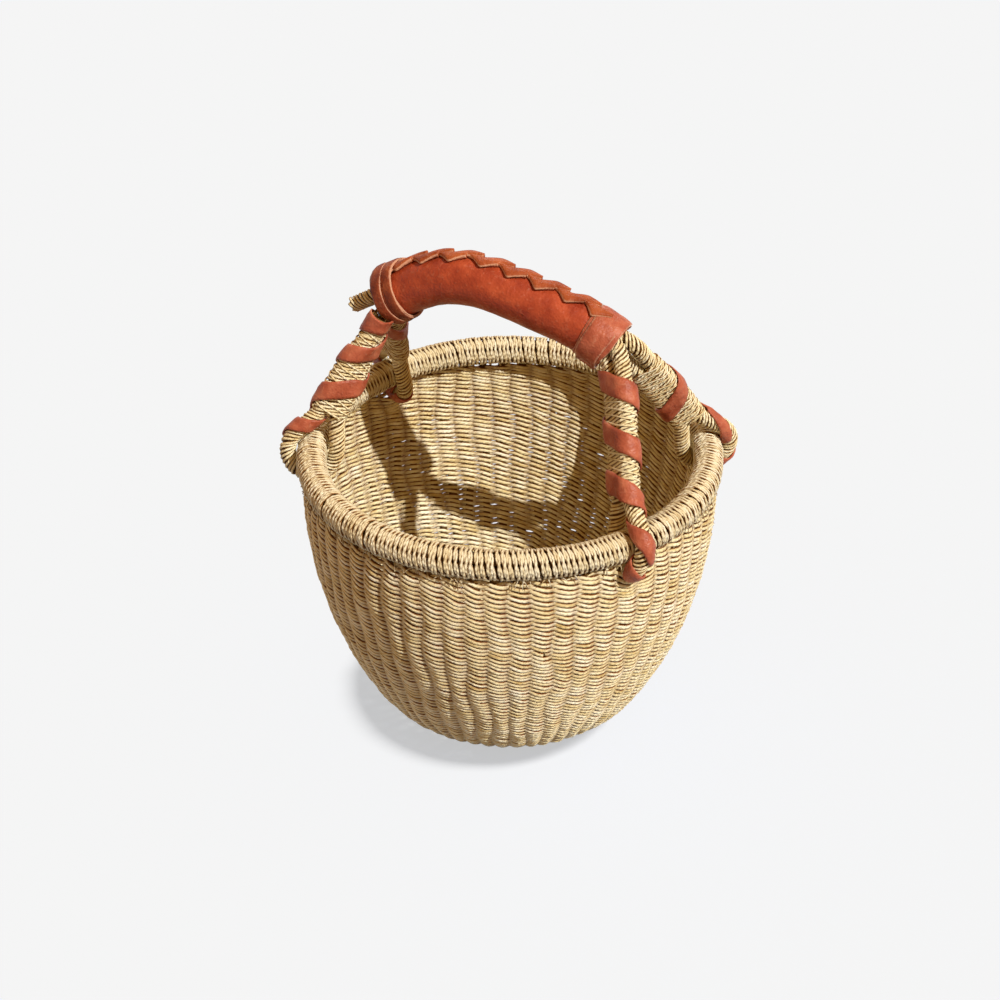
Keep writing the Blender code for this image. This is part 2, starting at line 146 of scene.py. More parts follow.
def by_hand(points):
    """The weave's drift: its columns and rows are a little uneven, and it parts for the ropes."""
    angles = np.arctan2(points[..., 1], points[..., 0])
    reach = np.hypot(points[..., 0], points[..., 1])
    height = points[..., 2] * 100
    grown = np.clip(reach / BASE_RADIUS, 0, 1)
    low = np.clip(height / 2, 0, 1)
    raised = UPWARD_DRIFT * low * drift(UPWARD_WAVES, angles, height)
    turned = SIDEWAYS_DRIFT * grown * drift(SIDEWAYS_WAVES, angles, height)
    angles = angles + turned / np.maximum(reach, 0.02)
    points = points + np.stack([0 * angles, 0 * angles, raised], -1)
    for foot in FEET:
        aside = (np.mod(angles - foot + math.pi, 2 * math.pi) - math.pi) * reach
        hole = HOLE_HEIGHT + rim_lift(foot)
        above = points[..., 2] - hole
        away = np.hypot(aside, above) + 1e-6
        moved = np.where((away < HOLE_REACH) & (reach > BASE_RADIUS),
                         HOLE_RADIUS + away * (HOLE_REACH - HOLE_RADIUS) / HOLE_REACH, away)
        angles = angles + aside * (moved / away - 1) / reach
        points = np.concatenate([points[..., :2], (hole + above * moved / away)[..., None]], -1)
    return np.stack([reach * np.cos(angles), reach * np.sin(angles), points[..., 2]], -1)


def add(material, kind, inputs=None, stops=None, **settings):
    """Add a node with its settings, its ramp's stops, and its inputs linked or set."""
    made = material.node_tree.nodes.new("ShaderNode" + kind)
    for name, value in settings.items():
        setattr(made, name, value)
    for place, shade in stops or ():
        ramp = made.color_ramp.elements
        stop = ramp[-1] if shade is stops[-1][1] else ramp[0] if shade is stops[0][1] else ramp.new(place)
        stop.position = place
        stop.color = shade
    for socket, value in (inputs or {}).items():
        if isinstance(value, bpy.types.NodeSocket):
            material.node_tree.links.new(value, made.inputs[socket])
        else:
            made.inputs[socket].default_value = value
    return made


def tone(code):
    """A colour written as sRGB hex, as the linear colour that a shader takes."""
    values = [int(code[place:place + 2], 16) / 255 for place in (1, 3, 5)]
    linear = [value / 12.92 if value <= 0.04045 else ((value + 0.055) / 1.055) ** 2.4 for value in values]
    return (*linear, 1)


def grass(name, shades, shadow, roughness):
    """Split elephant grass, dried in the sun: dull, with a little gloss on its skin. Each straw has
    its own tone, from cream to brown, with fibres along it that catch the light in fine streaks.
    Where a straw turns in against its neighbours, and where it lies hidden under others, its colour is
    darkened with painted shade. The UV map runs along a straw in centimetres and round it in turns."""
    material = bpy.data.materials.new(name)
    material.use_nodes = True
    shader = material.node_tree.nodes["Principled BSDF"]
    shader.inputs["Specular IOR Level"].default_value = 0.12
    along = add(material, "TexCoord").outputs["UV"]
    tint = add(material, "Attribute", attribute_name="tint").outputs["Fac"]
    painted_shade = add(material, "Attribute", attribute_name="painted_shade").outputs["Fac"]
    # Fibres 6 mm long and a ninth of the way round, coarser than real ones so that they show
    place = add(material, "Mapping", {"Vector": along, "Scale": (1.6, 9, 1)}).outputs[0]
    fibres = add(material, "TexNoise", {"Vector": place, "Scale": 1.0, "Detail": 4.0,
                                        "Roughness": 0.6}).outputs["Fac"]
    # Patches of the stem's own colour, about 11 mm long
    place = add(material, "Mapping", {"Vector": along, "Scale": (0.9, 0.6, 1)}).outputs[0]
    patches = add(material, "TexNoise", {"Vector": place, "Scale": 1.0, "Detail": 2.0}).outputs["Fac"]
    streak = add(material, "Math", {0: fibres, 1: 1.0, 2: -0.5}, operation="MULTIPLY_ADD").outputs[0]
    cloud = add(material, "Math", {0: patches, 1: 0.5, 2: -0.25}, operation="MULTIPLY_ADD").outputs[0]
    both = add(material, "Math", {0: streak, 1: cloud}, operation="ADD").outputs[0]
    place = add(material, "Math", {0: tint, 1: both}, operation="ADD", use_clamp=True).outputs[0]
    stops = list(zip((0.0, 0.3, 0.6, 1.0), [tone(shade) for shade in shades]))
    shade = add(material, "ValToRGB", {"Fac": place}, stops).outputs["Color"]
    # The sides of a straw, a quarter and three quarters of the way round, lie against others, and its colour
    # is darkened there with painted shade
    round_it = add(material, "SeparateXYZ", {0: along}).outputs["Y"]
    facing = add(material, "Math", {0: round_it, 1: 2 * math.pi}, operation="MULTIPLY").outputs[0]
    facing = add(material, "Math", {0: facing}, operation="COSINE").outputs[0]
    facing = add(material, "Math", {0: facing}, operation="ABSOLUTE").outputs[0]
    fold = add(material, "MapRange", {"Value": facing, "From Min": 0.9, "From Max": 0.3}).outputs["Result"]
    # Painted shade: the larger of the side shade and the straw's own painted shade, mixed towards the shadow
    # colour
    painted_shade_share = add(material, "Math", {0: fold, 1: painted_shade}, operation="MAXIMUM").outputs[0]
    wear_and_painted_shade = add(material, "Mix", {"Factor": painted_shade_share, "A": shade, "B": tone(shadow)}, data_type="RGBA",
               blend_type="MULTIPLY").outputs["Result"]
    material.node_tree.links.new(wear_and_painted_shade, shader.inputs["Base Color"])
    # Slanting grooves that the twisting leaves, one to about 3 mm
    groove = add(material, "Mapping", {"Vector": along, "Rotation": (0, 0, math.radians(35)),
                                       "Scale": (2.2, 1.0, 1)}).outputs[0]
    groove = add(material, "TexWave", {"Vector": groove, "Scale": 0.9, "Distortion": 1.2},
                 bands_direction="Y").outputs["Fac"]
    height = add(material, "Math", {0: groove, 1: 0.7, 2: fibres}, operation="MULTIPLY_ADD").outputs[0]
    relief = add(material, "Bump", {"Height": height, "Strength": 0.8, "Distance": 0.00045})
    material.node_tree.links.new(relief.outputs["Normal"], shader.inputs["Normal"])
    rough = add(material, "Math", {0: fibres, 1: 0.3, 2: roughness - 0.15}, operation="MULTIPLY_ADD")
    material.node_tree.links.new(rough.outputs[0], shader.inputs["Roughness"])
    return material


def stand(name, data):
    """A new object in the scene, made of a mesh, a lamp or a camera."""
    made = bpy.data.objects.new(name, data)
    bpy.context.scene.collection.objects.link(made)
    return made


def quads_round(count, sides):
    """The corners of the quads between rings of points, and the ring and the side of each."""
    ring, side = np.meshgrid(np.arange(count - 1), np.arange(sides), indexing="ij")
    after = (side + 1) % sides
    corners = np.stack([ring * sides + side, ring * sides + after, (ring + 1) * sides + after,
                        (ring + 1) * sides + side], -1)
    return corners.reshape(-1, 4), ring, side


def straws(name, runs, sides, material):
    """One piece made of many straws. A run holds its centre line, its way out, its half size that way and
    across it, and its tint and painted shade at each point."""
    places, around, quads, caps, sizes = [], [], [], [], {"tint": [], "painted_shade": []}
    turned = 2 * math.pi * np.arange(sides) / sides
    first = 0
    for line, out, half_out, half_across, tint, painted_shade in runs:
        count = len(line)
        along = unit(np.gradient(line, axis=0))
        out = unit(out - along * (out * along).sum(1, keepdims=True))
        across = np.cross(along, out)
        x = np.asarray(half_out)[..., None] * np.cos(turned)
        y = np.asarray(half_across)[..., None] * np.sin(turned)
        ring = line[:, None] + x[..., None] * out[:, None] + y[..., None] * across[:, None]
        places.append(ring.reshape(-1, 3))
        lengths = along_line(line) * 100
        corners, rows, side = quads_round(count, sides)
        quads.append(first + corners)
        start = luck.integers(0, 500)
        u = np.stack([lengths[rows], lengths[rows], lengths[rows + 1], lengths[rows + 1]], -1) + start
        v = np.stack([side, side + 1, side + 1, side], -1) / sides + start
        around.append(np.stack([u, v], -1).reshape(-1, 2))
        ends = np.arange(sides)
        caps += [first + ends[::-1], first + (count - 1) * sides + ends]
        for key, value in (("tint", tint), ("painted_shade", painted_shade)):
            sizes[key].append(np.repeat(np.broadcast_to(value, count), sides))
        first += count * sides
    flat = np.concatenate([rows.ravel() for rows in quads] + [np.concatenate(caps)])
    totals = np.concatenate([np.full(sum(len(rows) for rows in quads), 4), np.full(len(caps), sides)])
    mesh = bpy.data.meshes.new(name)
    mesh.vertices.add(first)
    mesh.vertices.foreach_set("co", np.concatenate(places).ravel().astype(np.float32))
    mesh.loops.add(len(flat))
    mesh.loops.foreach_set("vertex_index", flat.astype(np.int32))
    mesh.polygons.add(len(totals))
    starts = np.concatenate([[0], np.cumsum(totals)[:-1]])
    mesh.polygons.foreach_set("loop_start", starts.astype(np.int32))
    mesh.polygons.foreach_set("use_smooth", np.ones(len(totals), bool))
    mesh.update(calc_edges=True)
    uv = np.concatenate(around + [np.zeros((len(caps) * sides, 2))])
    mesh.uv_layers.new(name="straw").data.foreach_set("uv", uv.ravel().astype(np.float32))
    for key, values in sizes.items():
        mesh.attributes.new(key, "FLOAT", "POINT").data.foreach_set(
            "value", np.concatenate(values).astype(np.float32))
    mesh.materials.append(material)
    return stand(name, mesh)


def give(piece, slot, *nodes):
    """The piece rides on the basket and stands for the nodes. The slot is not used."""
    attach(piece, "root")
    if nodes:
        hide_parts(*nodes)


# The stems are coloured darker than the wefts as painted shade: they show only in the gaps between the wefts
# and between the rim's wraps
stem = grass("dried_grass_stems", ("#5E4420", "#86683A", "#A98C58", "#C6A976"), "#6B4A22", 0.6)
stake_runs = []
for stake in range(STAKES):
    low_end = BASE_STAKE_LINE if stake % 2 else BASE_STAKE_LINE / 2 if stake % 4 else MIDDLE_STAKE_LINE
    lengths = np.linspace(low_end, wall_lengths[-1] + INTO_RIM, STAKE_POINTS)
    middle, _, out = wall_at(lengths)
    angle = STAKE_PHASE + 2 * math.pi * stake / STAKES
    line = round_axis(middle, angle)
    line = by_hand(lifted(line, line[:, 2] / WALL_TOP))
    # Each stake is darkened by painted shade (0.55) where it shows between the wefts
    stake_runs.append((line, round_axis(out, angle), STAKE_HALF_THICKNESS,
                       STAKE_HALF_WIDTH * luck.uniform(0.8, 1.1), luck.uniform(0.2, 0.6), 0.55))
give(straws("stakes", stake_runs, 5, stem), "woven_straw", "woven_body")

# Wefts: two long straws of twisted grass that spiral out from the middle of the base to the rim.
# At each stake one passes outside and one inside, and they twist half a turn between stakes, so
# a stitch slants down to the right and its right end lies over the start of the next one.
ROW_PITCH = 0.00265
WEFT_LINE = 0.0004
WEFT_SWING = 0.00106
WEFT_SLANT = 0.00118
WEFT_OVERLAP = 0.42
WEFT_WOBBLE = 0.00024
CREST_HALF_THICKNESS = 0.00102
CREST_HALF_HEIGHT = 0.0012
TWIST_HALF_THICKNESS = 0.0009
TWIST_HALF_HEIGHT = 0.00098
WEFT_SIDES = 8
UNDER_RIM = 0.1392
SAG_SHARE = 1.2
SAG_POWER = 8
# A new blade of grass is twisted in about every 23 stitches, and has its own tone
BLADE_STITCHES = 23
BLADES = 3000
WEFT_TONE = 0.66
# Painted shade where the wefts pass between two stakes, for the shade of their own crests
TWIST_SHADE = 0.7
# The base's middle is woven over fifteen stakes, then over thirty, and the rest over them all
WEFT_START = 0.0015
MIDDLE_EDGE = 0.016
WALL_BANDS = 4
top_length = np.interp(UNDER_RIM, wall_line[:, 1], wall_lengths)


def stitched(phase, low, high):
    """A random value for each stitch, eased from one stitch to the next."""
    first = math.floor(phase.min() / math.pi) - 1
    count = math.ceil(phase.max() / math.pi) + 2 - first
    return np.interp(phase / math.pi, first + np.arange(count), luck.uniform(low, high, count))


def wefts(name, start, stop, stakes, points, material):
    """Both wefts of the courses between two lengths along the wall's middle line. Where the rim
    rises the last courses stay low, which leaves a row of open gaps under it."""
    turns = np.arange(start / ROW_PITCH, stop / ROW_PITCH, 1 / (stakes * points))
    angles = 2 * math.pi * turns
    runs = []
    for hand in (0, 1):
        phase = stakes * (angles - STAKE_PHASE) / 2 + math.pi * hand
        middle, up, out = wall_at(turns * ROW_PITCH)
        radial = WEFT_LINE + WEFT_SWING * stitched(phase, 0.75, 1.2) * np.cos(phase - WEFT_OVERLAP)
        rise = (-WEFT_SLANT * stitched(phase, 0.7, 1.25) * np.sin(phase)
                + WEFT_WOBBLE * stitched(phase, -1, 1))
        pairs = middle + radial[:, None] * out + rise[:, None] * up
        line = round_axis(pairs, angles)
        share = line[:, 2] / UNDER_RIM
        line = by_hand(lifted(line, share * (1 - SAG_SHARE * np.clip(share, 0, 1) ** SAG_POWER)))
        crest = np.abs(np.cos(phase - WEFT_OVERLAP / 2)) ** 0.7
        plump = stitched(phase, 0.84, 1.08)
        thick = TWIST_HALF_THICKNESS + (CREST_HALF_THICKNESS - TWIST_HALF_THICKNESS) * crest
        tall = (TWIST_HALF_HEIGHT + (CREST_HALF_HEIGHT - TWIST_HALF_HEIGHT) * crest) * plump
        blade = np.interp(phase / math.pi / BLADE_STITCHES, np.arange(-4, BLADES),
                          luck.uniform(-0.12, 0.12, BLADES + 4))
        tint = WEFT_TONE + blade + stitched(phase, -0.2, 0.2)
        shaded = TWIST_SHADE * (1 - crest) ** 1.3
        runs.append((line, round_axis(out, angles), thick, tall, tint, shaded))
    return straws(name, runs, WEFT_SIDES, material)


twisted = grass("twisted_grass_wefts", ("#8E6A34", "#D0B578", "#EDDEB0", "#FCF7E0"), "#7A4410", 0.52)
edges = np.linspace(BASE_STAKE_LINE, top_length, WALL_BANDS + 1)
areas = [("of_the_middle", WEFT_START, MIDDLE_EDGE, STAKES // 4, 6),
         ("of_the_base", MIDDLE_EDGE, BASE_STAKE_LINE, STAKES // 2, 5)]
areas += [(band + 1, edges[band], edges[band + 1], STAKES, 5) for band in range(WALL_BANDS)]
for area, start, stop, stakes, points in areas:
    give(wefts(f"wefts_{area}", start, stop, stakes, points, twisted), "woven_straw", "woven_body")

# Rim: the stakes' ends and spare grass are gathered into a roll, and twisted straw is wound
# round it, three wraps side by side at a time, catching the top of the wall here and there.
ROLL_RADIUS = 0.008
ROLL_WRAPS = 261
ROLL_STARTS = 3
WRAP_POINTS = 24
WRAP_TWISTS = 3
PLY_HALF_THICKNESS = 0.0007
PLY_HALF_WIDTH = 0.00085
PLY_LIFT = 0.0003
PLY_ASIDE = 0.0006
WRAP_WANDER = 0.25
WRAP_RISE = 0.0003
ROLL_STEMS = 7
STEM_RADIUS = 0.0018
STEM_LINE = 0.0041
STEM_TWISTS = 9
STEM_POINTS = 301
# The stitches that catch the wall's top edge, by the heights that each passes
CATCHES = 122
CATCH_HEIGHTS = np.array([0.1325, 0.1355, 0.1385, 0.1425])
CATCH_HALF_SIZE = (0.0005, 0.0007)
# Ends of straw that stand out under the roll, most of them at the front
LOOSE_ENDS = 90
LOOSE_RADIUS = 0.1068
LOOSE_HEIGHT = 0.1408
LOOSE_OUT = 0.0026
LOOSE_HALF_SIZE = (0.00026, 0.0004)


def round_roll(turned, reach, angles):
    """A line round the rim roll, at angles round the basket, and the way out at each point."""
    pairs = np.stack([RIM_RADIUS + reach * np.cos(turned), RIM_HEIGHT + reach * np.sin(turned)], 1)
    out = np.stack([np.cos(turned), np.sin(turned)], 1)
    return lifted(round_axis(pairs, angles)), round_axis(out, angles)


stem_runs = []
for number in range(ROLL_STEMS):
    angles = np.linspace(0, 2 * math.pi, STEM_POINTS)
    turned = STEM_TWISTS * angles + 2 * math.pi * number / ROLL_STEMS
    line, out = round_roll(turned, STEM_LINE, angles)
    # The stems inside the roll are darkened by painted shade (0.6), for the shade between the wraps
    stem_runs.append((line, out, STEM_RADIUS, STEM_RADIUS, luck.uniform(0.2, 0.7), 0.6))
give(straws("rim_stems", stem_runs, 6, stem), "woven_straw", "rim_core")


def uneven(turns, rows):
    """Random values between -1 and 1, a row for each quality, eased from turn to turn."""
    count = int(turns[-1]) + 3
    return [np.interp(turns, np.arange(count), luck.uniform(-1, 1, count)) for row in range(rows)]


split = grass("split_straw_binding", ("#85683C", "#C0A878", "#DBCDA8", "#ECE7D2"), "#9A6A34", 0.5)
for start in range(ROLL_STARTS):
    turns = np.arange(0, ROLL_WRAPS / ROLL_STARTS + 1 / WRAP_POINTS, 1 / WRAP_POINTS)
    aside, lift, wide, tint = uneven(turns, 4)
    plies = []
    for ply in (0, 1):
        twist = 2 * math.pi * WRAP_TWISTS * turns + math.pi * ply
        wraps = turns * ROLL_STARTS + start + WRAP_WANDER * aside
        angles = (RIM_RADIUS * 2 * math.pi / ROLL_WRAPS * wraps + PLY_ASIDE * np.cos(twist)) / RIM_RADIUS
        reach = ROLL_RADIUS - PLY_HALF_THICKNESS - PLY_LIFT * (1 - np.sin(twist)) + WRAP_RISE * lift
        line, out = round_roll(-2 * math.pi * turns, reach, angles)
        plies.append((line, out, PLY_HALF_THICKNESS, PLY_HALF_WIDTH * (1 + 0.12 * wide),
                      0.64 + 0.16 * tint + 0.06 * ply, 0.0))
    give(straws(f"rim_wraps_{start + 1}", plies, 6, split), "bound_straw", "rim_binding")

# Painted shade: the catch stitches are darkened by 0.2 and the loose ends by 0.1
stray_runs = []
for catch in range(CATCHES):
    angle = 2 * math.pi * (catch + luck.uniform(-0.3, 0.3)) / CATCHES
    radii = np.interp(CATCH_HEIGHTS, wall_line[:, 1], wall_line[:, 0]) + luck.uniform(-0.001, 0.001, 4)
    angles = angle + luck.uniform(-0.008, 0.008, 4)
    line = even(lifted(round_axis(np.stack([radii, CATCH_HEIGHTS], 1), angles)), 0.0008, 3)
    out = np.broadcast_to((math.cos(angle), math.sin(angle), 0), line.shape)
    stray_runs.append((line, out, *CATCH_HALF_SIZE, luck.uniform(0.3, 0.8), 0.2))
for end in range(LOOSE_ENDS):
    angle = luck.uniform(-2.6, 0.2) if end % 3 else luck.uniform(-math.pi, math.pi)
    slant = luck.uniform(-0.0042, 0.0052)
    steps = np.linspace(0, 1, 6)
    hang = luck.uniform(0.0012, 0.0042) * steps ** 1.5
    pairs = np.stack([LOOSE_RADIUS + LOOSE_OUT * steps, LOOSE_HEIGHT - hang], 1)
    line = lifted(round_axis(pairs, angle + slant * steps / RIM_RADIUS))
    out = np.broadcast_to((math.cos(angle), math.sin(angle), 0), line.shape)
    thick, wide = LOOSE_HALF_SIZE
    stray_runs.append((line, out, thick, wide * (1.3 - steps), luck.uniform(0.3, 0.9), 0.1))
give(straws("stray_straws", stray_runs, 5, split), "bound_straw")

# Handle ropes: two ropes of grass, each wound over with thin straws, that loop under the rim at
# their four feet and lie side by side and one over the other in the grip. One end is cut off
# short outside the left collar, and the others are tucked away.
STRAND_RADIUS = 0.0042
HALF_PITCH = 0.00435
GRIP_MIDDLE_X = -0.0058
GRIP_HEIGHT = 0.241
GRIP_HALF_SPAN = 0.0618
GRIP_RISE = 0.018
GRIP_SKEW = 0.0035
STUB_LENGTH = 0.02
TUCK_SHARE = 0.09
FORK_LENGTH = 0.022
LOOP_LEAN_SHARE = 0.85
RIGHT_MOUTH_PULL = 0.008
LEFT_MOUTH_PULL = 0.014
LEFT_DROP_SHARE = 1.1
LEFT_TWIST_SHARE = 0.25
FORK_PULL = 0.025
LOOP_REACH = 0.0128
LEG_SHARES = np.linspace(0, 1, 31)
# How the far rope curls out beside the right collar, and down to what share of the leg
BULGE = np.array((0.0012, -0.0014, 0.0017))
BULGE_SHARE = 0.42
ROUTE_STEP = 0.0008
CORE_RADIUS = STRAND_RADIUS - 0.0011
OVER_ROPE = STRAND_RADIUS + 0.0002
STRAW_WANDER = 0.22
STRAW_RISE = 0.00012
ROPE_ADVANCE = 0.0126
ROPE_STARTS = 6
# Half the width and half the thickness of a wound straw
ROPE_STRAW = (0.00082, 0.00072)
ARCH_RADIUS = (GRIP_HALF_SPAN ** 2 + GRIP_RISE ** 2) / (2 * GRIP_RISE)
ARCH_TURN = math.asin(GRIP_HALF_SPAN / ARCH_RADIUS)
ARCH_MIDDLE = (GRIP_MIDDLE_X, 0, GRIP_HEIGHT - ARCH_RADIUS)


def arch_skew(turn):
    """How far the arch bulges at its left and flattens at its right, where a hand bent it."""
    share = (turn / ARCH_TURN + 1) / 2
    return GRIP_SKEW * np.sin(2 * math.pi * share) * np.sin(math.pi * share)


def arch(turn, up=0.0, side=0.0):
    """A place on the grip's arch, by its turn from the top, its height over it and its side."""
    turn, up, side = np.broadcast_arrays(turn, up, side)
    reach = ARCH_RADIUS + up + arch_skew(turn)
    return np.stack([ARCH_MIDDLE[0] + reach * np.sin(turn), side + 0.0,
                     ARCH_MIDDLE[2] + reach * np.cos(turn)], -1)


class Leg:
    """A leg of the handle: a pair of strands from the grip's mouth that forks round the rim."""

    def __init__(self, end, side, foot):
        self.end, self.side = end, side
        out = np.array((math.cos(foot), math.sin(foot), 0))
        tangent = np.cross((0, 0, 1), out)
        turn = end * ARCH_TURN
        self.run = end * np.array((math.cos(turn), 0, -math.sin(turn)))
        if end > 0:
            self.mouth = arch(turn, side=side * HALF_PITCH)
            self.spread = np.array((math.sin(turn), 0, math.cos(turn)))
            self.leave = self.run * RIGHT_MOUTH_PULL
            self.twist = 0.0
        else:
            self.mouth = arch(turn, -HALF_PITCH, side * 2 * HALF_PITCH)
            self.spread = np.array((0, side, 0))
            self.leave = unit(self.run - np.array((0, 0, LEFT_DROP_SHARE))) * LEFT_MOUTH_PULL
            self.twist = LEFT_TWIST_SHARE
        self.rim = out * RIM_RADIUS + np.array((0, 0, RIM_HEIGHT + rim_lift(foot)))
        leaning = self.mouth - self.rim
        leaning[:2] *= LOOP_LEAN_SHARE
        self.axis = unit(leaning)
        self.across = unit(np.cross(tangent, self.axis))
        self.stretch = 1 / math.sqrt(1 - (self.axis @ tangent) ** 2)
        self.fork = self.rim + self.axis * FORK_LENGTH

    def pair(self, share):
        """The pair's middle, its run and its spread at a share of the way to the fork."""
        share = np.asarray(share, float)[..., None]
        back = 1 - share
        knots = (self.mouth, self.mouth + self.leave, self.fork + self.axis * FORK_PULL, self.fork)
        middle = (back ** 3 * knots[0] + 3 * back ** 2 * share * knots[1]
                  + 3 * back * share ** 2 * knots[2] + share ** 3 * knots[3])
        run = unit(back ** 2 * (knots[1] - knots[0]) + 2 * back * share * (knots[2] - knots[1])
                   + share ** 2 * (knots[3] - knots[2]))
        late = np.maximum(0, share - self.twist) / (1 - self.twist)
        turned_by = late ** 2 * (3 - 2 * late)
        spread = self.spread * (1 - turned_by) + self.across * turned_by
        return middle, run, unit(spread - run * (spread * run).sum(-1, keepdims=True))

    def strand(self, hand, start=0.0):
        """The outer strand's line (hand 1) or the inner one's (-1), from the mouth to the fork."""
        middle, _, spread = self.pair(start + (1 - start) * LEG_SHARES)
        return middle + hand * HALF_PITCH * spread

    def meets(self):
        """The angle from the loop's top at which a strand that comes from the fork meets it."""
        along = FORK_LENGTH / self.stretch
        return math.atan2(HALF_PITCH, along) + math.acos(LOOP_REACH / math.hypot(along, HALF_PITCH))

    def loop(self, start, stop, count):
        """The loop's line round the rim, between two angles from its top on the outer side."""
        angles = np.linspace(start, stop, count)[:, None]
        return (self.rim + LOOP_REACH * np.cos(angles) * self.stretch * self.axis
                + LOOP_REACH * np.sin(angles) * self.across)

    def whole_loop(self):
        """The loop from where the outer strand meets it to where the inner one does."""
        return self.loop(self.meets(), 2 * math.pi - self.meets(), 33)


legs = {"right_near": Leg(1, -1, FEET[0]), "right_far": Leg(1, 1, FEET[1]),
        "left_near": Leg(-1, -1, FEET[2]), "left_far": Leg(-1, 1, FEET[3])}


def carried(line):
    """A way out for each point of a line, turned as little as possible from one to the next."""
    along = unit(np.gradient(line, axis=0))
    way = np.cross(along[0], (0.3, 0.9, 0.2))
    ways = []
    for step in along:
        way = way - step * (way @ step)
        way = way / np.linalg.norm(way)
        ways.append(way)
    return np.array(ways)


def oval(share, half, radius):
    """Places round an oval, a circle drawn out by half each way, from its outermost point."""
    arc = math.pi * radius
    around = np.mod(share, 1) * (2 * arc + 4 * half)
    parts = [around <= arc / 2, around < arc / 2 + 2 * half, around <= 1.5 * arc + 2 * half,
             around < 1.5 * arc + 4 * half]
    angle = np.select(parts, [around / radius, math.pi / 2, (around - 2 * half) / radius, 1.5 * math.pi],
                      (around - 4 * half) / radius)
    shift = np.select(parts, [half, half - (around - arc / 2), -half, around - 1.5 * arc - 3 * half], half)
    return shift + radius * np.cos(angle), radius * np.sin(angle), np.cos(angle), np.sin(angle)


def wound(line, spreads, half, radius, advance, starts, hand, half_width, half_thickness, points=18):
    """Straws wound side by side round a rope's line, or round two strands half a pitch away."""
    lengths = along_line(line)
    besides = np.cross(unit(np.gradient(line, axis=0)), spreads)
    turns = np.arange(0, lengths[-1] / advance, 1 / points)
    runs = []
    for start in range(starts):
        aside, lift, wide, tint = uneven(4 * turns, 4)
        places = np.clip((turns + STRAW_WANDER * aside / starts) * advance, 0, lengths[-1])
        middle, spread, beside = [read_off(places, lengths, rows) for rows in (line, spreads, besides)]
        x, y, cos, sin = oval(hand * (turns + start / starts), half, radius - half_thickness)
        x, y = x + STRAW_RISE * lift * cos, y + STRAW_RISE * lift * sin
        out = unit(cos[:, None] * spread + sin[:, None] * beside)
        runs.append((middle + x[:, None] * spread + y[:, None] * beside, out,
                     half_thickness, half_width * (1 + 0.16 * wide), 0.62 + 0.2 * tint, 0.0))
    return runs


core = grass("grass_rope", ("#7A5A2E", "#A08048", "#BC9E66", "#D4BC88"), "#6B4A22", 0.6)
wrapping = grass("straw_wrapping", ("#967440", "#D2BA82", "#ECDFB4", "#FAF5DE"), "#9A6A34", 0.5)
turns = np.linspace(-ARCH_TURN, ARCH_TURN, 41)
for name, side in (("near", -1), ("far", 1)):
    left, right = legs[f"left_{name}"], legs[f"right_{name}"]
    outer = right.strand(1)
    if side > 0:
        outer += BULGE * (np.sin(np.pi * np.clip(LEG_SHARES / BULGE_SHARE, 0, 1)) ** 2)[:, None]
    route = np.concatenate([
        left.strand(1, TUCK_SHARE), left.whole_loop(), left.strand(-1)[:0:-1],
        arch(turns, -HALF_PITCH, side * HALF_PITCH), right.strand(-1)[1:], right.whole_loop()[::-1],
        outer[:0:-1], arch(turns[::-1], HALF_PITCH, side * HALF_PITCH)])
    if side < 0:
        route = np.concatenate([route, [route[-1] + left.run * STUB_LENGTH]])
    line = even(route, ROUTE_STEP, 7)
    ways = carried(line)
    # The core shows only between the wraps and is darkened by painted shade (0.7)
    give(straws(f"{name}_rope_core", [(line, ways, CORE_RADIUS, CORE_RADIUS, 0.3, 0.7)], 10, core),
         "bound_straw", f"{name}_rope")
    wraps = wound(line, ways, 0, OVER_ROPE, ROPE_ADVANCE, ROPE_STARTS, 1, *ROPE_STRAW)
    give(straws(f"{name}_rope_wraps", wraps, 5, wrapping), "bound_straw", f"{name}_rope")

# Leg bindings: lower down each leg straw is wound round both strands together, with a few thin
# straws crossed over it the other way, and it ends where they part to go round the rim.
BINDING_BORE = 0.00466
BINDING_WALL = 0.0006
BINDING_ADVANCE = 0.0135
BINDING_STARTS = 7
CROSSED_ADVANCE = 0.011
CROSSED_STARTS = 3
RIGHT_BINDING_START = 0.4
LEFT_BINDING_START = 0.07
OVER_LEG = BINDING_BORE + BINDING_WALL
CROSSED_OVER_LEG = BINDING_BORE + 1.6 * BINDING_WALL
# Half the width, half the thickness and the points in a turn
BINDING_STRAW = (0.0008, 0.0006, 36)
CROSSED_STRAW = (0.0006, 0.0004, 36)

for name, leg in legs.items():
    start = RIGHT_BINDING_START if leg.end > 0 else LEFT_BINDING_START
    middle, _, spread = leg.pair(np.linspace(start, 0.99, 200))
    runs = wound(middle, spread, HALF_PITCH, OVER_LEG, BINDING_ADVANCE, BINDING_STARTS, 1,
                 *BINDING_STRAW)
    runs += wound(middle, spread, HALF_PITCH, CROSSED_OVER_LEG, CROSSED_ADVANCE, CROSSED_STARTS, -1,
                  *CROSSED_STRAW)
    give(straws(f"{name}_leg_wraps", runs, 6, wrapping), "bound_straw", f"{name}_leg_binding")

# Leg strips: a strip of dyed goat leather is wound down each leg over the straw. Near the rim it
# leaves the inner strand, and its end goes round the outer one's loop and is tucked in.
STRIP_WIDTH = 0.0115
STRIP_THICKNESS = 0.0013
OVER_BINDING = OVER_LEG + 0.0003
OVER_STRAND = STRAND_RADIUS + 0.0003
STRIP_STEP = 1 / 32
# A strip starts half as wide again, and has its own width 12 mm on
TOP_WIDENING = ((0, 0.012), (1.5, 1))
LOOP_END = math.pi + 1.3
LOOP_STATIONS = 28
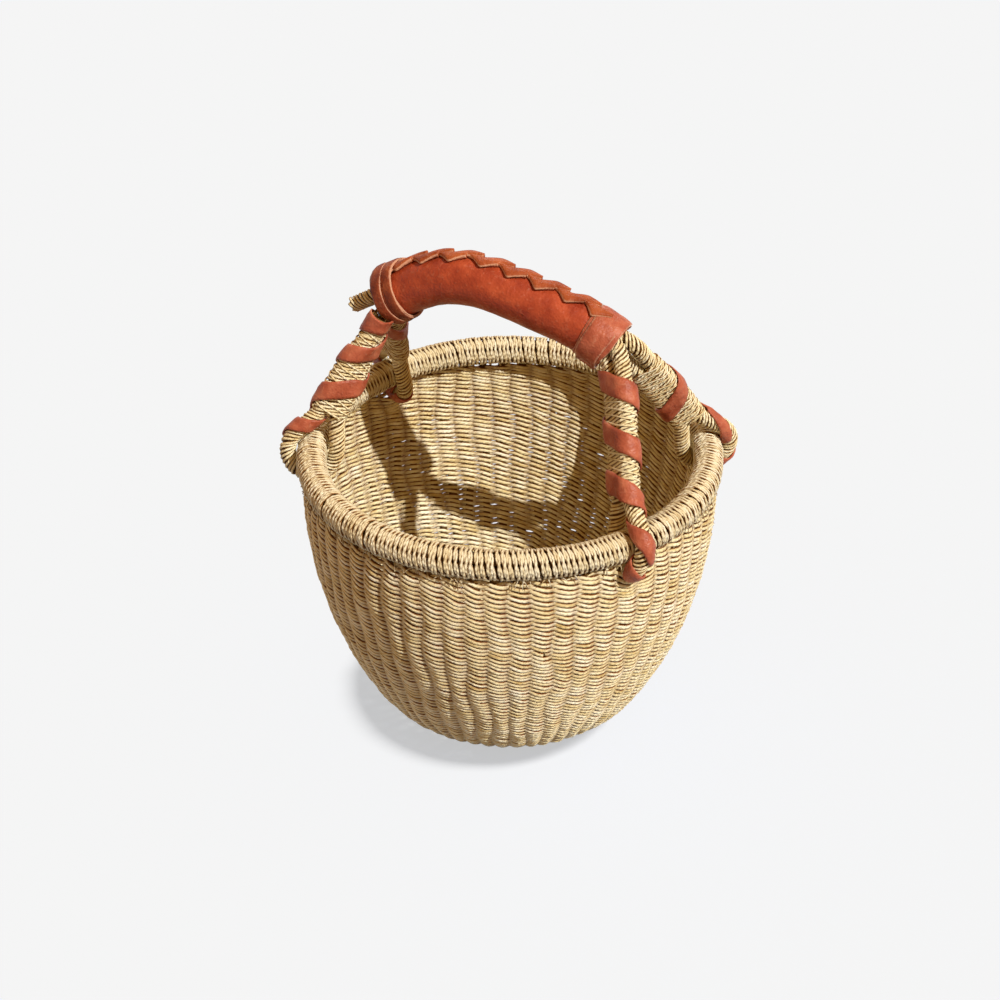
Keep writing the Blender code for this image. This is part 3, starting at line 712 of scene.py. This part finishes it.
# The pitch, where the strip starts, and its end: the turn, the share of the way from the fork to
# the loop, and the share of its width
STRIPS = {
    "right_near": (0.0265, 0.015, (
        (-1.5, -0.6, 1.0), (-1.25, -0.42, 1.0), (-1.0, -0.02, 1.0), (-0.75, 0.33, 0.85),
        (-0.5, 0.6, 0.8), (-0.25, 1.0, 0.9), (0.0, 1.4, 1.0), (0.25, 1.7, 0.9), (0.75, 2.15, 0.8),
        (1.0, 2.35, 0.8), (1.3, 2.5, 0.6))),
    "left_near": (0.023, -0.001, (
        (-1.5, -1.3, 1.0), (-1.25, -0.95, 1.0), (-1.0, -0.45, 1.0), (-0.75, 0.33, 0.85),
        (-0.5, 0.37, 0.7), (-0.25, 0.55, 0.85), (0.0, 0.85, 1.0), (0.25, 1.12, 1.0))),
    "right_far": (0.036, 0.024, (
        (-0.75, -1.15, 1.0), (-0.5, -0.7, 1.0), (-0.25, -0.15, 1.0), (0.0, 0.42, 1.0),
        (0.25, 1.12, 0.9), (0.5, 1.6, 0.7), (1.0, 2.15, 0.6), (1.3, 2.4, 0.5))),
    "left_far": (0.036, 0.004, (
        (-0.75, -2.95, 1.0), (-0.5, -2.5, 1.1), (-0.25, -1.6, 1.3), (0.0, -0.2, 1.5),
        (0.25, 0.9, 1.3), (0.6, 1.8, 0.9), (1.0, 2.4, 1.0), (1.5, 2.85, 1.0), (2.0, 3.05, 1.0),
        (2.3, 3.1, 1.0)))}


def leather(name, shades, roughness, gloss, grain, wear_and_painted_sheen_share):
    """Vegetable-tanned goat leather, dyed red-brown. The dye has taken unevenly, the grain is fine and
    pebbled, the raised places are paler, partly rubbed wear and partly a painted sheen, and the cut edges
    show pale."""
    material = bpy.data.materials.new(name)
    material.use_nodes = True
    shader = material.node_tree.nodes["Principled BSDF"]
    shader.inputs["Specular IOR Level"].default_value = gloss
    place = add(material, "TexCoord").outputs["Object"]
    edge = add(material, "Attribute", attribute_name="edge").outputs["Fac"]
    # Clouds of dye about 9 mm across, and wrinkles of 2 to 3 mm
    cloud = add(material, "TexNoise", {"Vector": place, "Scale": 110.0, "Detail": 5.0,
                                       "Roughness": 0.6}).outputs["Fac"]
    pebbles = add(material, "TexVoronoi", {"Vector": place, "Scale": 1 / grain}).outputs["Distance"]
    wrinkles = add(material, "TexNoise", {"Vector": place, "Scale": 420.0, "Detail": 4.0,
                                          "Distortion": 0.6}).outputs["Fac"]
    stops = list(zip((0.28, 0.5, 0.72), [tone(shade) for shade in shades[:3]]))
    dyed = add(material, "ValToRGB", {"Fac": cloud}, stops).outputs["Color"]
    # Paler flecks on the raised wrinkles: partly rubbed wear, partly a painted sheen
    wear_and_painted_sheen = add(material, "MapRange", {"Value": wrinkles, "From Min": 0.58, "From Max": 0.74,
                                       "To Max": wear_and_painted_sheen_share}).outputs["Result"]
    with_wear_and_painted_sheen = add(material, "Mix", {"Factor": wear_and_painted_sheen, "A": dyed, "B": tone(shades[3])}, data_type="RGBA")
    wear_and_painted_shade = add(material, "Math", {0: edge, 1: cloud}, operation="MULTIPLY").outputs[0]
    wear_and_painted_shade = add(material, "MapRange", {"Value": wear_and_painted_shade, "From Min": 0.3, "From Max": 0.6,
                                       "To Max": 0.6}).outputs["Result"]
    raw = add(material, "Mix", {"Factor": wear_and_painted_shade, "A": with_wear_and_painted_sheen.outputs["Result"], "B": tone(shades[3])},
              data_type="RGBA")
    material.node_tree.links.new(raw.outputs["Result"], shader.inputs["Base Color"])
    rough = add(material, "Math", {0: wrinkles, 1: 0.35, 2: roughness - 0.17}, operation="MULTIPLY_ADD")
    material.node_tree.links.new(rough.outputs[0], shader.inputs["Roughness"])
    height = add(material, "Math", {0: pebbles, 1: 0.35, 2: wrinkles}, operation="MULTIPLY_ADD")
    relief = add(material, "Bump", {"Height": height.outputs[0], "Strength": 0.7, "Distance": 0.0006})
    material.node_tree.links.new(relief.outputs["Normal"], shader.inputs["Normal"])
    return material


def fasten(piece, kind, **settings):
    """Add a modifier with its settings and apply it."""
    bpy.context.view_layer.objects.active = piece
    made = piece.modifiers.new(kind, kind)
    for key, value in settings.items():
        setattr(made, key, value)
    bpy.ops.object.modifier_apply(modifier=made.name)


def rumple(piece, size, strength):
    """Push the surface in and out by a soft cloud of a given size."""
    texture = bpy.data.textures.new(piece.name, "CLOUDS")
    texture.noise_scale = size
    texture.noise_depth = 2
    fasten(piece, "DISPLACE", texture=texture, texture_coords="LOCAL", strength=strength, mid_level=0.5)


def ribbon(name, rows, material, edges):
    """A closed band over rows of points, each round one cross-section, with its raw edges marked."""
    rows = np.asarray(rows)
    count, sides = rows.shape[:2]
    quads, _, _ = quads_round(count, sides)
    faces = quads.tolist() + [list(range(sides))[::-1], list(range((count - 1) * sides, count * sides))]
    mesh = bpy.data.meshes.new(name)
    mesh.from_pydata(rows.reshape(-1, 3).tolist(), [], faces)
    mesh.attributes.new("edge", "FLOAT", "POINT").data.foreach_set(
        "value", np.tile(edges, count).astype(np.float32))
    mesh.shade_smooth()
    mesh.materials.append(material)
    piece = stand(name, mesh)
    bpy.ops.object.select_all(action="DESELECT")
    piece.select_set(True)
    bpy.context.view_layer.objects.active = piece
    bpy.ops.object.mode_set(mode="EDIT")
    bpy.ops.mesh.select_all(action="SELECT")
    bpy.ops.mesh.normals_make_consistent(inside=False)
    bpy.ops.object.mode_set(mode="OBJECT")
    return piece


def band(width, thickness):
    """The cross-section of a leather strip, with rounded edges: across it, up, and how raw."""
    half = width / 2
    across = np.array([-1, -0.7, -0.35, 0, 0.35, 0.7, 1, 1, 0.7, 0.35, 0, -0.35, -0.7, -1]) * half
    up = np.array([0.35, 0.02, 0, 0, 0, 0.02, 0.35, 0.72, 0.97, 1, 1, 1, 0.97, 0.72]) * thickness
    raw = np.array([1, 0.2, 0, 0, 0, 0.2, 1, 1, 0.05, 0, 0, 0, 0.05, 1])
    return across, up, raw


def track(leg):
    """Stations down a leg's outer strand and round the rim's outer side."""
    middle, run, spread = leg.pair(LEG_SHARES)
    places = list(middle + HALF_PITCH * spread)
    spreads, runs = list(spread), list(run)
    start, step = leg.meets(), 0.01
    loop = leg.loop(start, LOOP_END, LOOP_STATIONS)
    after = leg.loop(start + step, LOOP_END + step, LOOP_STATIONS)
    places += list(loop)
    spreads += list(unit(loop - leg.rim))
    runs += list(unit(after - loop))
    return along_line(places), np.array(places), np.array(spreads), np.cross(runs, spreads)


lash = leather("dyed_goat_leather_strip", ("#863A24", "#A6543A", "#BC6E50", "#E0B496"), 0.46, 0.26,
               0.0011, 0.14)
across, up, raw = band(1.0, STRIP_THICKNESS)
for name, leg in legs.items():
    pitch, first, shares = STRIPS[name]
    end_turns, end_shares, width_shares = np.transpose(shares)
    parting = math.ceil(end_turns[0])
    lengths, places, spreads, besides = track(leg)
    fork, rim_meets = lengths[len(LEG_SHARES) - 1], lengths[len(LEG_SHARES)]
    lay = leg.side * leg.end
    rows = []
    turn = end_turns[-1]
    while True:
        share = np.interp(turn, end_turns, end_shares)
        middle = fork + share * (rim_meets - fork) + pitch * min(turn - end_turns[0], 0)
        if middle < first:
            break
        ragged = 1 + 0.05 * math.sin(9 * turn + leg.side) + 0.04 * math.sin(23 * turn + leg.end)
        wide = np.interp(turn, end_turns, width_shares) * np.interp(middle, *TOP_WIDENING)
        at = middle + across * STRIP_WIDTH * ragged * wide
        half, clear = (HALF_PITCH, STRIP_WIDTH / 2) if turn < parting else (0, 0)
        radius = np.interp(at, (fork + clear, fork + clear + 0.003), (OVER_BINDING, OVER_STRAND))
        x, y, _, _ = oval(np.full(len(at), turn), half, radius + up)
        x = x - half
        place, aside, beside = [read_off(at, lengths, part) for part in (places, spreads, besides)]
        rows.append(place + x[:, None] * aside + lay * y[:, None] * beside)
        turn -= STRIP_STEP
    piece = ribbon(f"{name}_strip", rows[::-1], lash, 0.6 * raw)
    rumple(piece, 0.0045, 0.0009)
    give(piece, "strip_leather", f"{name}_leg_strip")

# Grip sleeve: one piece of thin goat leather, wrapped wet round the four passes of rope and
# rubbed smooth, so that it has shrunk on and shows the ropes' shape under it a little.
SLEEVE_RADIUS = 0.01266
SLEEVE_WALL = 0.0018
grip_leather = leather("polished_goat_leather", ("#862E18", "#9E4024", "#B65231", "#E0A888"), 0.42, 0.2,
                        0.0014, 0.14)

bpy.ops.object.select_all(action="DESELECT")
bpy.ops.mesh.primitive_circle_add(
    vertices=48, radius=SLEEVE_RADIUS - SLEEVE_WALL, rotation=(0, math.pi / 2 - ARCH_TURN, 0),
    location=tuple(arch(-ARCH_TURN)))
sleeve = bpy.context.object
sleeve.name = sleeve.data.name = "grip_leather_sleeve"
bpy.ops.object.transform_apply(location=True, rotation=True, scale=True)
bpy.ops.object.mode_set(mode="EDIT")
bpy.ops.mesh.select_all(action="SELECT")
bpy.ops.mesh.spin(steps=72, angle=-2 * ARCH_TURN, center=ARCH_MIDDLE, axis=(0, 1, 0))
bpy.ops.mesh.select_all(action="SELECT")
bpy.ops.mesh.remove_doubles(threshold=0.00001)
bpy.ops.mesh.normals_make_consistent(inside=False)
bpy.ops.object.mode_set(mode="OBJECT")
sleeve.data.shade_smooth()
for vertex in sleeve.data.vertices:
    turn = math.atan2(vertex.co.x - ARCH_MIDDLE[0], vertex.co.z - ARCH_MIDDLE[2])
    vertex.co.x += arch_skew(turn) * math.sin(turn)
    vertex.co.z += arch_skew(turn) * math.cos(turn)
fasten(sleeve, "SOLIDIFY", thickness=SLEEVE_WALL, offset=1.0)
rumple(sleeve, 0.012, 0.0008)
sleeve.data.materials.append(grip_leather)
give(sleeve, "grip_leather", "grip_sleeve")

# Collars: at each end of the grip wet bands of strip leather are wrapped over each other round the sleeve's
# end, and each one's cut end lies over its own start. The left collar's leather is darker, partly its own
# tone and partly painted shade, as it faces away from the key lamp.
# Darker shades of the strip leather for the left collar: partly its own tone, partly painted shade
lash_with_painted_shade = leather("darker_goat_leather_with_painted_shade", ("#5A2213", "#823A20", "#9C5230", "#DDAE8E"), 0.55,
                    0.18, 0.0011, 0.14)
COLLAR_OVERLAP = 0.9
COLLAR_SWING = 0.0005
# The end, the leather, and for each band how far in from the mouth it lies, its width, thickness
# and height, the turn where it starts and how far it leans in at the top
COLLARS = {
    "left": (-1, lash_with_painted_shade, (
        (0.0064, 0.0128, 0.0017, 0.0002, 5.9, 0.0), (0.0036, 0.0060, 0.0013, 0.0014, 5.5, 0.0),
        (0.0098, 0.0056, 0.0014, 0.0008, 0.6, 0.0))),
    "right": (1, lash, (
        (0.0128, 0.0052, 0.0007, 0.0, 0.9, 0.0), (0.0036, 0.0070, 0.0010, -0.0002, 5.9, -0.0004),
        (0.0076, 0.0124, 0.0013, 0.0004, 2.6, 0.0013)))}
for name, (end, hide, bands) in COLLARS.items():
    for number, (inward, width, thickness, lift, start, lean) in enumerate(bands):
        across, up, raw = band(width, thickness)
        angles = np.linspace(0, 2 * math.pi + COLLAR_OVERLAP, 96)
        swing = COLLAR_SWING * np.sin(3 * angles + number) + lean * np.cos(start + angles)
        over = np.interp(angles, (2 * math.pi - 0.5, 2 * math.pi), (0, thickness))
        height = SLEEVE_RADIUS + 0.0003 + lift + over[:, None] + up
        place = end * (ARCH_TURN - (inward + swing[:, None] + across) / ARCH_RADIUS)
        way = (start + angles)[:, None]
        piece = ribbon(f"{name}_collar_band_{number + 1}",
                       arch(place, height * np.cos(way), height * np.sin(way)), hide, 1.2 * raw)
        rumple(piece, 0.005, 0.0005)
        give(piece, "strip_leather", f"{name}_collar")

# Lace: thin straps of the same leather, plaited flat along the top of the grip, which close the
# sleeve's seam. Each strap turns over at the side, so a row of pointed folds stands there.
LACE_LOBES = 8
LACE_FIRST = math.radians(-25.5)
LACE_PITCH = math.radians(7.07)
LOBE_BEFORE = 0.008
LOBE_AFTER = 0.009
LACE_THICKNESS = 0.0015
ON_SLEEVE = SLEEVE_RADIUS + 0.0002

lace_leather = leather("plaited_goat_leather", ("#84381A", "#9C4B26", "#B46036", "#DDAE8E"), 0.5, 0.15,
                        0.0011, 0.14)
lobe_across, lobe_up, lobe_raw = band(2.0, 1.0)
lobe_dome = 0.5 * (1 - lobe_across ** 2)
for hand, count, offset in ((-1, LACE_LOBES, 0.0), (1, LACE_LOBES - 1, 0.5)):
    for lobe in range(count):
        share = np.linspace(0, 1, 25)
        nudge = luck.uniform(-1, 1, 3)
        turn = (LACE_FIRST + LACE_PITCH * (lobe + offset + 0.06 * nudge[0])
                + (share * (LOBE_BEFORE + LOBE_AFTER) - LOBE_BEFORE) / (ARCH_RADIUS + ON_SLEEVE))
        # The pointed edge, the edge past the middle, and the end that rides over the next fold
        outer = np.interp(share, (0, 0.18, 0.5, 0.56, 1),
                          (0.0004, 0.0016, 0.0064 + 0.0005 * nudge[1], 0.0060, 0.0020))
        inner = np.interp(share, (0, 0.3, 0.7, 1), (-0.0009, -0.0013, -0.0008, 0.0002))
        rise = np.interp(share, (0, 0.5, 1), (-0.0001, 0.0005, 0.0012))
        outer = np.convolve(np.pad(outer, 1, "edge"), np.ones(3) / 3, "valid")[:, None]
        inner = inner[:, None] * (1 + 0.06 * nudge[2])
        aside = hand * (outer + inner) / 2 + (outer - inner) / 2 * lobe_across
        height = (ON_SLEEVE + rise[:, None] * np.where(lobe_up > 0.3, 1, 0.3)
                  + LACE_THICKNESS * (lobe_up + lobe_dome * (lobe_up > 0.5)))
        angle = aside / ON_SLEEVE
        piece = ribbon(f"lace_{'near' if hand < 0 else 'far'}_fold_{lobe + 1}",
                       arch(turn[:, None], height * np.cos(angle), height * np.sin(angle)), lace_leather,
                       1.5 * lobe_raw)
        give(piece, "strip_leather", "grip_lace")

# Studio: a sheet of white paper, even warm light from all round, one hard lamp from the right and
# front, a soft one behind, and one for the paper alone.
FLOOR = "#F5F5F5"
FILL_TINT = (1.0, 0.51, 0.14)
FILL = 0.46
FLOOR_GLOW = 0.58
FLOOR_ALBEDO = 0.08
# What the floor's own lamp has to add, so that the floor comes out as written
FLOOR_LAMP = math.pi * ((1 - FLOOR_GLOW) * tone(FLOOR)[0] / FLOOR_ALBEDO - FILL) / math.sin(math.radians(36))
# Turn and rise, strength, width and colour, and whether it lights the floor alone or all else
LAMPS = {"key": (-20, 45, 4.0, 0.8, (1.0, 1.0, 0.95), False),
         "back": (115, 35, 0.9, 20, (1.0, 1.0, 0.95), False),
         "floor_lamp": (40, 36, FLOOR_LAMP, 22, FILL_TINT, True)}


def seen_rays(material):
    """1 for what is seen straight, mirrored or through glass, and 0 for light that bounces."""
    rays = add(material, "LightPath").outputs
    seen = rays["Is Camera Ray"]
    for kind in ("Is Glossy Ray", "Is Transmission Ray"):
        seen = add(material, "Math", {0: seen, 1: rays[kind]}, operation="MAXIMUM").outputs[0]
    return seen


bpy.ops.object.select_all(action="DESELECT")
bpy.ops.mesh.primitive_plane_add(size=12, location=(0, 0, -0.0002))
floor = bpy.context.object
floor.name = "floor"
paper = bpy.data.materials.new("white_paper")
paper.use_nodes = True
paper.node_tree.nodes.remove(paper.node_tree.nodes["Principled BSDF"])
glow_level = add(paper, "Math", {0: seen_rays(paper), 1: FLOOR_GLOW}, operation="MULTIPLY")
matt = add(paper, "BsdfDiffuse", {"Color": (*[FLOOR_ALBEDO / part for part in FILL_TINT], 1)})
glow = add(paper, "Emission", {"Color": tone(FLOOR), "Strength": glow_level.outputs[0]})
both = add(paper, "AddShader", {0: matt.outputs[0], 1: glow.outputs[0]})
paper.node_tree.links.new(both.outputs[0], paper.node_tree.nodes["Material Output"].inputs["Surface"])
floor.data.materials.append(paper)

world = bpy.data.worlds.new("studio")
bpy.context.scene.world = world
world.use_nodes = True
sky = world.node_tree.nodes["Background"]
sky.inputs["Color"].default_value = (*FILL_TINT, 1)
sky.inputs["Strength"].default_value = FILL
seen = add(world, "Background", {"Color": tone(FLOOR), "Strength": 1.0})
either = add(world, "MixShader", {0: seen_rays(world), 1: sky.outputs[0], 2: seen.outputs[0]})
world.node_tree.links.new(either.outputs[0], world.node_tree.nodes["World Output"].inputs["Surface"])

floor_only = bpy.data.collections.new("floor_only")
floor_only.objects.link(floor)
all_but_floor = bpy.data.collections.new("all_but_floor")
all_but_floor.objects.link(floor)
all_but_floor.collection_objects[0].light_linking.link_state = "EXCLUDE"
low_parts = bpy.data.collections.new("what_shades_the_floor")
for name in ("wefts_of_the_middle", "wefts_of_the_base", "wefts_1"):
    low_parts.objects.link(bpy.data.objects[name])
for name, (turn, rise, strength, width, colour, for_floor) in LAMPS.items():
    lamp = bpy.data.lights.new(name, "SUN")
    lamp.energy = strength
    lamp.angle = math.radians(width)
    lamp.color = colour
    hung = stand(name, lamp)
    hung.rotation_euler = (math.radians(90 - rise), 0, math.radians(turn + 90))
    hung.light_linking.receiver_collection = floor_only if for_floor else all_but_floor
    if for_floor:
        hung.light_linking.blocker_collection = low_parts

# Camera: at the photograph's viewing angle, a little from the right and above, with a long lens
# that is shifted so that the basket stands where the photograph has it.
TARGET = np.array((0, 0, 0.147))
AZIMUTH = math.radians(25)
ELEVATION = math.radians(32.1)
DISTANCE = 1.15
back = np.array((math.sin(AZIMUTH) * math.cos(ELEVATION), -math.cos(AZIMUTH) * math.cos(ELEVATION),
                 math.sin(ELEVATION)))
camera = stand("camera", bpy.data.cameras.new("camera"))
camera.location = TARGET + back * DISTANCE
camera.rotation_euler = (math.pi / 2 - ELEVATION, 0, AZIMUTH)
camera.data.sensor_width = 36
camera.data.lens = 79.7
camera.data.shift_x = -0.010
camera.data.shift_y = -0.0485
bpy.context.scene.camera = camera
bpy.context.scene.view_settings.view_transform = "Standard"
